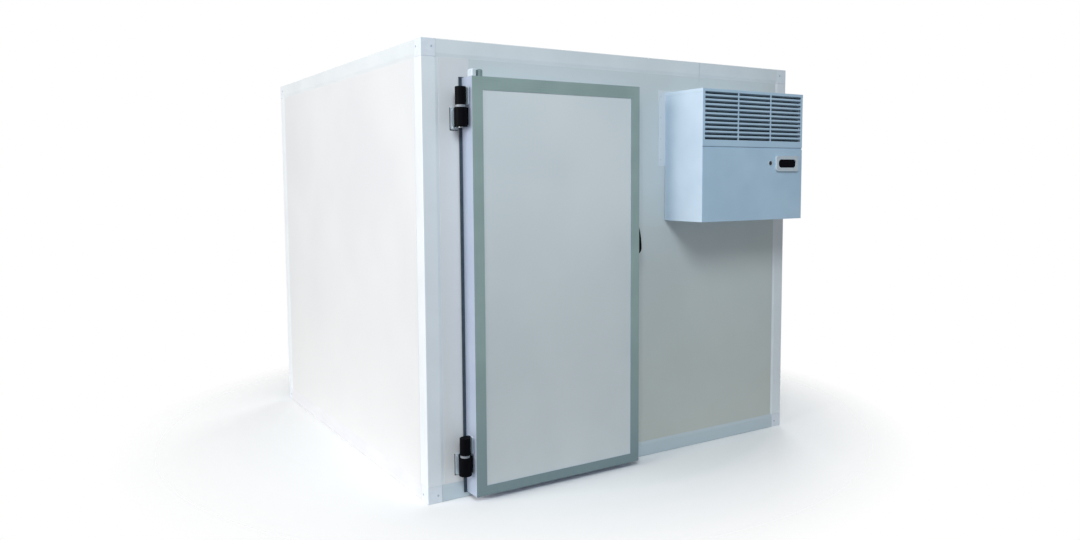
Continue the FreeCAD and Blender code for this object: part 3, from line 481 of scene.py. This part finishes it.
# %% The scatter tree
def scatter_tree():
    """Copies of one small part on loose points, each turned to its point's facing."""
    tree = bpy.data.node_groups.new("place_small_parts", "GeometryNodeTree")
    tree.interface.new_socket("Geometry", in_out="INPUT", socket_type="NodeSocketGeometry")
    tree.interface.new_socket("Part", in_out="INPUT", socket_type="NodeSocketObject")
    tree.interface.new_socket("Part scale", in_out="INPUT", socket_type="NodeSocketFloat")
    tree.interface.new_socket("Finish", in_out="INPUT", socket_type="NodeSocketMaterial")
    tree.interface.new_socket("Geometry", in_out="OUTPUT", socket_type="NodeSocketGeometry")
    given = add(tree, "NodeGroupInput").outputs
    part = add(tree, "GeometryNodeObjectInfo", {"Object": given["Part"]}).outputs["Geometry"]
    facing = add(tree, "GeometryNodeInputNamedAttribute", {"Name": "facing"}, data_type="FLOAT_VECTOR")
    turn = add(tree, "FunctionNodeAlignRotationToVector", {"Vector": facing.outputs[0]}, axis="Z")
    copies = add(tree, "GeometryNodeInstanceOnPoints", {
        "Points": given["Geometry"], "Instance": part,
        "Rotation": turn.outputs["Rotation"], "Scale": given["Part scale"],
    }).outputs["Instances"]
    solid = add(tree, "GeometryNodeRealizeInstances", {"Geometry": copies}).outputs["Geometry"]
    coated = add(tree, "GeometryNodeSetMaterial", {"Geometry": solid, "Material": given["Finish"]})
    add(tree, "NodeGroupOutput", {"Geometry": coated.outputs["Geometry"]})
    return tree


SCATTER = scatter_tree()


def plain_mesh(name, carrier, modifier):
    """The evaluated mesh of an object whose modifier is then taken away."""
    graph = bpy.context.evaluated_depsgraph_get()
    mesh = bpy.data.meshes.new_from_object(carrier.evaluated_get(graph))
    mesh.name = name
    carrier.modifiers.remove(modifier)
    bpy.data.objects.remove(carrier)
    return mesh


def scattered(name, part_mesh, spots, material, body):
    """One piece with a copy of a part at each spot, a pair of place and facing."""
    part = bpy.data.objects.new(f"{name}_part", part_mesh)
    bpy.context.scene.collection.objects.link(part)
    points = bpy.data.meshes.new(f"{name}_points")
    points.from_pydata([place for place, _ in spots], [], [])
    facing = points.attributes.new("facing", "FLOAT_VECTOR", "POINT")
    for index, (_, direction) in enumerate(spots):
        facing.data[index].vector = direction
    carrier = bpy.data.objects.new(f"{name}_carrier", points)
    bpy.context.scene.collection.objects.link(carrier)
    modifier = carrier.modifiers.new("scatter", "NODES")
    modifier.node_group = SCATTER
    sockets = {item.name: item.identifier for item in SCATTER.interface.items_tree if item.in_out == "INPUT"}
    modifier[sockets["Part"]] = part
    modifier[sockets["Part scale"]] = 1.0
    modifier[sockets["Finish"]] = material
    mesh = plain_mesh(name, carrier, modifier)
    bpy.data.objects.remove(part)
    piece = stand_alone(name, mesh, material, body)
    print(f"{name}: {len(spots)} copies, {len(mesh.polygons)} faces")
    return piece


# %% [markdown]
# ## Plugs on the corner blocks
#
# Each corner block is drawn to the frame by a bolt from two sides. A small white plug hides each
# bolt head, and it shows as a dot with a thin dark ring where its edge is. The dot sits near the
# inner corner of each outer face. Loops over the four plan corners, the two levels and the two
# outward faces make all sixteen.

# %% Corner plugs
plug_shape = turned("plug_shape", [(0, -0.4), (5.2, -0.4), (5.2, 0.7), (4.6, 1.3), (2.2, 1.6), (0, 1.6)])
PLUG_INSET = 53 * MM
PLUG_FROM_END = 36 * MM
plug_spots = []
for level in (room_low.z + PLUG_FROM_END, room_high.z - PLUG_FROM_END):
    for x, x_out in ((room_low.x, -1), (room_high.x, 1)):
        for y, y_out in ((room_low.y, -1), (room_high.y, 1)):
            plug_spots.append(((x - x_out * PLUG_INSET, y, level), (0, y_out, 0)))
            plug_spots.append(((x, y - y_out * PLUG_INSET, level), (x_out, 0, 0)))
plug_abs = moulded_finish("grey_abs_plug", "#AAB5C2", "#A0ACBA", 0.45)
scattered("corner_block_plugs", plug_shape, plug_spots, plug_abs, "room")

# %% [markdown]
# ## Screws
#
# The hinge's wall plates and the cooling unit's flange are held with screws. At this distance only
# the dome of the head matters, with a shallow socket in its middle. The plates get theirs here.

# %% Screws on the hinge plates
screw_shape = turned("screw_shape", [
    (0, -0.5), (4.2, -0.5), (4.2, 0.4), (3.6, 1.2), (2.2, 1.7), (1.6, 1.7), (1.4, 0.7), (0, 0.5)], sides=16)
SCREW_INSET = 10 * MM


def plate_spots(low, high, inset, face_y):
    """Four places, one in each corner of an upright plate that faces the front."""
    return [((x, face_y, z), (0, -1, 0))
            for x in (low.x + inset, high.x - inset) for z in (low.z + inset, high.z - inset)]


plates_low, plates_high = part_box("hinge_wall_plates")
PLATE_HEIGHT = 103 * MM
plate_screws = []
for foot in (plates_low.z, plates_high.z - PLATE_HEIGHT):
    low = Vector((plates_low.x, plates_low.y, foot))
    high = Vector((plates_high.x, plates_high.y, foot + PLATE_HEIGHT))
    plate_screws += plate_spots(low, high, SCREW_INSET, plates_low.y)
scattered("hinge_plate_screws", screw_shape, plate_screws, zinc_plate, "room")

# %% [markdown]
# ## Painted shadow beside the wall plates
#
# A thin dark line runs left of and under each hinge wall plate. What makes it is a guess: a rubber
# pad that stands out a little there. It is painted shadow: two thin black strips on the panel's
# face, along only that edge of each plate.

# %% Painted shadow strips by the plates
SHADOW_STRIP_WIDTH, SHADOW_STRIP_THICKNESS = 3.5 * MM, 2 * MM
wall_face = plates_high.y
shadow_strip_boxes = []
# painted shadow: black strips left of and under each wall plate
for foot in (plates_low.z, plates_high.z - PLATE_HEIGHT):
    for low_x, high_x, low_z, high_z in (
        (plates_low.x - SHADOW_STRIP_WIDTH, plates_low.x, foot - SHADOW_STRIP_WIDTH, foot + PLATE_HEIGHT),
        (plates_low.x, plates_high.x, foot - SHADOW_STRIP_WIDTH, foot),
    ):
        shadow_strip_boxes.append((Vector((low_x, wall_face - SHADOW_STRIP_THICKNESS, low_z)),
                          Vector((high_x, wall_face, high_z))))
shadow_strip_mesh = moulded_block("hinge_plate_pads", shadow_strip_boxes, 0.3 * MM)
stand_alone("hinge_plate_pads", shadow_strip_mesh, black_nylon, "room")
print("pad strips:", len(shadow_strip_boxes), "on the panel's face at", round(wall_face, 4))

# %% [markdown]
# ## Wear plates beside the lower barrels
#
# The leaf's side runs past the fixed barrels as the door swings. A thin black nylon plate on the
# leaf's side faces each of them, and it rides on the door.

# %% Wear plates
side_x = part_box("leaf_stile_hinge_side")[0].x
pins_low, pins_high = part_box("hinge_pins")
axis_y = (pins_low.y + pins_high.y) / 2
knuckles_low, knuckles_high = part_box("hinge_wall_knuckles")
KNUCKLE_HEIGHT = 90 * MM
WEAR_METAL, WEAR_FRONT, WEAR_BACK, WEAR_FOOT = 1 * MM, 7 * MM, 30 * MM, 10 * MM
wear_boxes = []
for foot in (knuckles_low.z, knuckles_high.z - KNUCKLE_HEIGHT):
    wear_boxes.append((Vector((side_x - WEAR_METAL, axis_y - WEAR_FRONT, foot + WEAR_FOOT)),
                       Vector((side_x, axis_y + WEAR_BACK, foot + KNUCKLE_HEIGHT))))
wear_mesh = moulded_block("hinge_wear_plates", wear_boxes, 0.4 * MM)
stand_alone("hinge_wear_plates", wear_mesh, black_nylon, "door")
print("wear plates:", len(wear_boxes))

# %% [markdown]
# ## Screws round the unit's flange
#
# The flange is held to the wall by four screws up each side.

# %% Flange screws
flange_low, flange_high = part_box("unit_flange")
FLANGE_INSET = 14 * MM
SIDE_SCREWS, END_STEP = 4, 0.3
flange_screws = []
for x in (flange_low.x + FLANGE_INSET, flange_high.x - FLANGE_INSET):
    for step in range(SIDE_SCREWS):
        share = (step + END_STEP) / (SIDE_SCREWS - 1 + 2 * END_STEP)
        z = flange_low.z + (flange_high.z - flange_low.z) * share
        flange_screws.append(((x, flange_low.y, z), (0, -1, 0)))
scattered("flange_screws", screw_shape, flange_screws, zinc_plate, "room")

# %% [markdown]
# ## The pilot lamp
#
# Left of the display sits a small round lamp, which is off and reads as a dark dot with a thin
# bright ring. It is turned from two outlines, a ring and a lens, and stood on the cover's face.

# %% Pilot lamp
LAMP_FROM_BEZEL, LAMP_RISE = 40 * MM, 2 * MM
bezel_low, bezel_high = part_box("control_bezel")
cover_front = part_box("unit_front_cover")[0].y
lamp_height = (bezel_low.z + bezel_high.z) / 2 + LAMP_RISE
lamp_place = Vector((bezel_low.x - LAMP_FROM_BEZEL, cover_front, lamp_height))
lamp_ring = turned("lamp_ring", [
    (0, -1), (14, -1), (14, 1.5), (13.4, 2.2), (11.9, 2.2), (11.5, 0.8), (0, 0.6)], sides=32)
lamp_lens = turned("lamp_lens", [
    (0, 0), (11.4, 0), (11.4, 1.8), (9.4, 3.8), (5.2, 5.2), (0, 5.7)], sides=32)
lamp_glass = moulded_finish("smoked_lamp_lens", "#131C22", "#0E151A", 0.2, 20.0, 0.01, gloss=0.25)
lamp_spot = [(lamp_place, (0, -1, 0))]
scattered("pilot_lamp_ring", lamp_ring, lamp_spot, silver_abs, "room")
scattered("pilot_lamp_lens", lamp_lens, lamp_spot, lamp_glass, "room")

# %% [markdown]
# ## The coil behind the louvres
#
# Air goes in through the louvres and between the thin aluminium fins of the condenser. The real
# fins stand about 2 mm apart. They are drawn 4 mm apart, as fine as the picture can hold. A second
# node tree draws one fin and repeats it along a line, because the count follows from the width.

# %% Fins
fin_aluminium = plated_finish("condenser_fin_aluminium", "#56656E", "#414E57", 0.45, 30)


def fin_tree():
    """Thin upright plates repeated along X."""
    tree = bpy.data.node_groups.new("fins_along_x", "GeometryNodeTree")
    sizes = (("Width", 0.74), ("Depth", 0.032), ("Height", 0.3), ("Pitch", 0.004), ("Thickness", 0.0008))
    tree.interface.new_socket("Geometry", in_out="INPUT", socket_type="NodeSocketGeometry")
    for name, value in sizes:
        tree.interface.new_socket(name, in_out="INPUT", socket_type="NodeSocketFloat").default_value = value
    tree.interface.new_socket("Finish", in_out="INPUT", socket_type="NodeSocketMaterial")
    tree.interface.new_socket("Geometry", in_out="OUTPUT", socket_type="NodeSocketGeometry")
    given = add(tree, "NodeGroupInput").outputs
    size = add(tree, "ShaderNodeCombineXYZ", {
        "X": given["Thickness"], "Y": given["Depth"], "Z": given["Height"]}).outputs["Vector"]
    fin = add(tree, "GeometryNodeMeshCube", {"Size": size}).outputs["Mesh"]
    count = add(tree, "ShaderNodeMath", {0: given["Width"], 1: given["Pitch"]}, operation="DIVIDE").outputs[0]
    step = add(tree, "ShaderNodeCombineXYZ", {"X": given["Pitch"]}).outputs["Vector"]
    row = add(tree, "GeometryNodeMeshLine", {"Count": count, "Offset": step}).outputs["Mesh"]
    fins = add(tree, "GeometryNodeInstanceOnPoints", {"Points": row, "Instance": fin})
    solid = add(tree, "GeometryNodeRealizeInstances", {"Geometry": fins.outputs["Instances"]})
    coated = add(tree, "GeometryNodeSetMaterial", {
        "Geometry": solid.outputs["Geometry"], "Material": given["Finish"]})
    add(tree, "NodeGroupOutput", {"Geometry": coated.outputs["Geometry"]})
    return tree


coil_low, coil_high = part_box("condenser_coil")
coil_size = coil_high - coil_low
FIN_PITCH = 4 * MM
FIN_THICKNESS = 0.8 * MM
carrier = bpy.data.objects.new("fin_carrier", bpy.data.meshes.new("fin_carrier"))
bpy.context.scene.collection.objects.link(carrier)
modifier = carrier.modifiers.new("fins", "NODES")
modifier.node_group = fin_tree()
sockets = {item.name: item.identifier for item in modifier.node_group.interface.items_tree
           if item.in_out == "INPUT"}
for name, value in (("Width", coil_size.x), ("Depth", coil_size.y), ("Height", coil_size.z),
                    ("Pitch", FIN_PITCH), ("Thickness", FIN_THICKNESS), ("Finish", fin_aluminium)):
    modifier[sockets[name]] = value
fins = plain_mesh("condenser_fins", carrier, modifier)
coil_middle = (coil_low + coil_high) / 2
offset = Vector((coil_low.x + FIN_PITCH / 2, coil_middle.y, coil_middle.z))
for vertex in fins.vertices:
    vertex.co += offset
coil = stand_alone("condenser_fins", fins, fin_aluminium, "room")
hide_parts("condenser_coil")
print("fins:", round(coil_size.x / FIN_PITCH), "faces:", len(fins.polygons))

# %% [markdown]
# ## Floor and background
#
# The room stands on a plain pale floor, a wide square that fades away with the distance from the
# middle of the room. No horizon line shows, and the world behind it is white where the camera looks
# straight at it.

# %% Stage
FLOOR_RADIUS, FLOOR_DROP = 3.0, 0.5 * MM
FADE_START, FADE_END = 1.55, 2.45
floor_mesh = bpy.data.meshes.new("studio_floor")
floor_mesh.from_pydata(
    [(-FLOOR_RADIUS, -FLOOR_RADIUS, 0), (FLOOR_RADIUS, -FLOOR_RADIUS, 0),
     (FLOOR_RADIUS, FLOOR_RADIUS, 0), (-FLOOR_RADIUS, FLOOR_RADIUS, 0)], [], [(0, 1, 2, 3)])
studio_floor = bpy.data.objects.new("studio_floor", floor_mesh)
bpy.context.scene.collection.objects.link(studio_floor)
studio_floor.location.z = -FLOOR_DROP


def floor_finish():
    """Matt pale floor that fades to nothing towards its edge."""
    material = bpy.data.materials.new("matt_studio_floor")
    material.use_nodes = True
    tree = material.node_tree
    tree.nodes.clear()
    place = add(tree, "ShaderNodeTexCoord").outputs["Object"]
    distance = add(tree, "ShaderNodeVectorMath", {0: place}, operation="LENGTH").outputs["Value"]
    fade = between(tree, distance, FADE_START, FADE_END)
    matt = add(tree, "ShaderNodeBsdfDiffuse", {"Color": paint("#FAFAFA")}).outputs["BSDF"]
    clear = add(tree, "ShaderNodeBsdfTransparent").outputs["BSDF"]
    mixed = add(tree, "ShaderNodeMixShader", {0: fade, 1: matt, 2: clear}).outputs["Shader"]
    add(tree, "ShaderNodeOutputMaterial", {"Surface": mixed})
    return material


floor_mesh.materials.append(floor_finish())
print("floor:", 2 * FLOOR_RADIUS, "m across, gone at", FADE_END, "m from the middle")

# %% [markdown]
# ## Light
#
# The picture has soft daylight from the left, which makes the left wall nearly white and
# leaves the front at about half that level. A large soft lamp stands left of the room and a weaker
# one hangs over the front, which gives the short shadow under the cooling unit. A third stands behind
# and lights the two sides that the first two miss. The world adds an even cool level from all round.
# White is kept for what the camera and mirror reflections see of it.

# %% World and lamps
world = bpy.data.worlds.new("studio")
bpy.context.scene.world = world
world.use_nodes = True
tree = world.node_tree
tree.nodes.clear()
WORLD_STRENGTH = 0.3
ambient = add(tree, "ShaderNodeBackground", {"Color": paint("#E3ECF2"), "Strength": WORLD_STRENGTH})
white = add(tree, "ShaderNodeBackground", {"Color": paint("#FFFFFF"), "Strength": 1.0})
ray = add(tree, "ShaderNodeLightPath").outputs
mirrored = add(tree, "ShaderNodeMath", {0: ray["Is Glossy Ray"], 1: ray["Is Transmission Ray"]},
               operation="MAXIMUM").outputs[0]
seen = add(tree, "ShaderNodeMath", {0: ray["Is Camera Ray"], 1: mirrored}, operation="MAXIMUM").outputs[0]
mixed = add(tree, "ShaderNodeMixShader", {
    0: seen, 1: ambient.outputs["Background"], 2: white.outputs["Background"]})
add(tree, "ShaderNodeOutputWorld", {"Surface": mixed.outputs["Shader"]})


def soft_lamp(name, place, target, width, height, watts, tone):
    """A rectangular softbox that points at a target."""
    light = bpy.data.lights.new(name, "AREA")
    light.shape = "RECTANGLE"
    light.size = width
    light.size_y = height
    light.energy = watts
    light.color = paint(tone)[:3]
    lamp = bpy.data.objects.new(name, light)
    bpy.context.scene.collection.objects.link(lamp)
    lamp.location = place
    lamp.rotation_euler = (Vector(target) - Vector(place)).to_track_quat("-Z", "Y").to_euler()
    return lamp


soft_lamp("left_window", (-10.2, -1.3, 3.2), (-1.2, -0.4, 1.1), 6.0, 5.0, 820, "#FFFAF6")
soft_lamp("front_ceiling", (-3.0, -5.6, 5.0), (0.2, -1.2, 1.2), 2.4, 2.0, 240, "#E6F0F6")
soft_lamp("back_fill", (7.0, 6.5, 4.0), (0.6, 0.6, 1.1), 4.0, 3.0, 480, "#F6F8FA")

# %% [markdown]
# ## Camera
#
# The camera's place and angles were worked out from the edges of the room in the photograph: the
# eye is 1.55 m above the ground, 3.6 m from the front wall and left of the room's left wall. The
# small shift keeps the uprights as upright as the photograph shows them.

# %% Camera
CAMERA_PLACE = (-2.796, -4.813, 1.548)
YAW, PITCH, ROLL = math.radians(32.24), math.radians(-4.58), math.radians(-0.31)
IMAGE_WIDTH, IMAGE_HEIGHT = 1080, 540
FOCAL_PIXELS = 841.98
CENTRE_PIXEL = (547.85, 246.75)
SENSOR_MM = 36.0
forward = Vector((math.sin(YAW) * math.cos(PITCH), math.cos(YAW) * math.cos(PITCH), math.sin(PITCH)))
level = Vector((math.cos(YAW), -math.sin(YAW), 0))
upward = level.cross(forward)
side = level * math.cos(ROLL) + upward * math.sin(ROLL)
upward = upward * math.cos(ROLL) - level * math.sin(ROLL)
camera_data = bpy.data.cameras.new("photo_camera")
camera_data.sensor_width = SENSOR_MM
camera_data.lens = FOCAL_PIXELS / IMAGE_WIDTH * SENSOR_MM
camera_data.shift_x = (IMAGE_WIDTH / 2 - CENTRE_PIXEL[0]) / IMAGE_WIDTH
camera_data.shift_y = (CENTRE_PIXEL[1] - IMAGE_HEIGHT / 2) / IMAGE_WIDTH
camera = bpy.data.objects.new("photo_camera", camera_data)
bpy.context.scene.collection.objects.link(camera)
turn = Matrix((side, upward, -forward)).transposed()
camera.matrix_world = Matrix.Translation(CAMERA_PLACE) @ turn.to_4x4()
bpy.context.scene.camera = camera
bpy.context.scene.view_settings.view_transform = "Standard"
print("lens:", round(camera_data.lens, 2), "shift:",
      round(camera_data.shift_x, 4), round(camera_data.shift_y, 4))
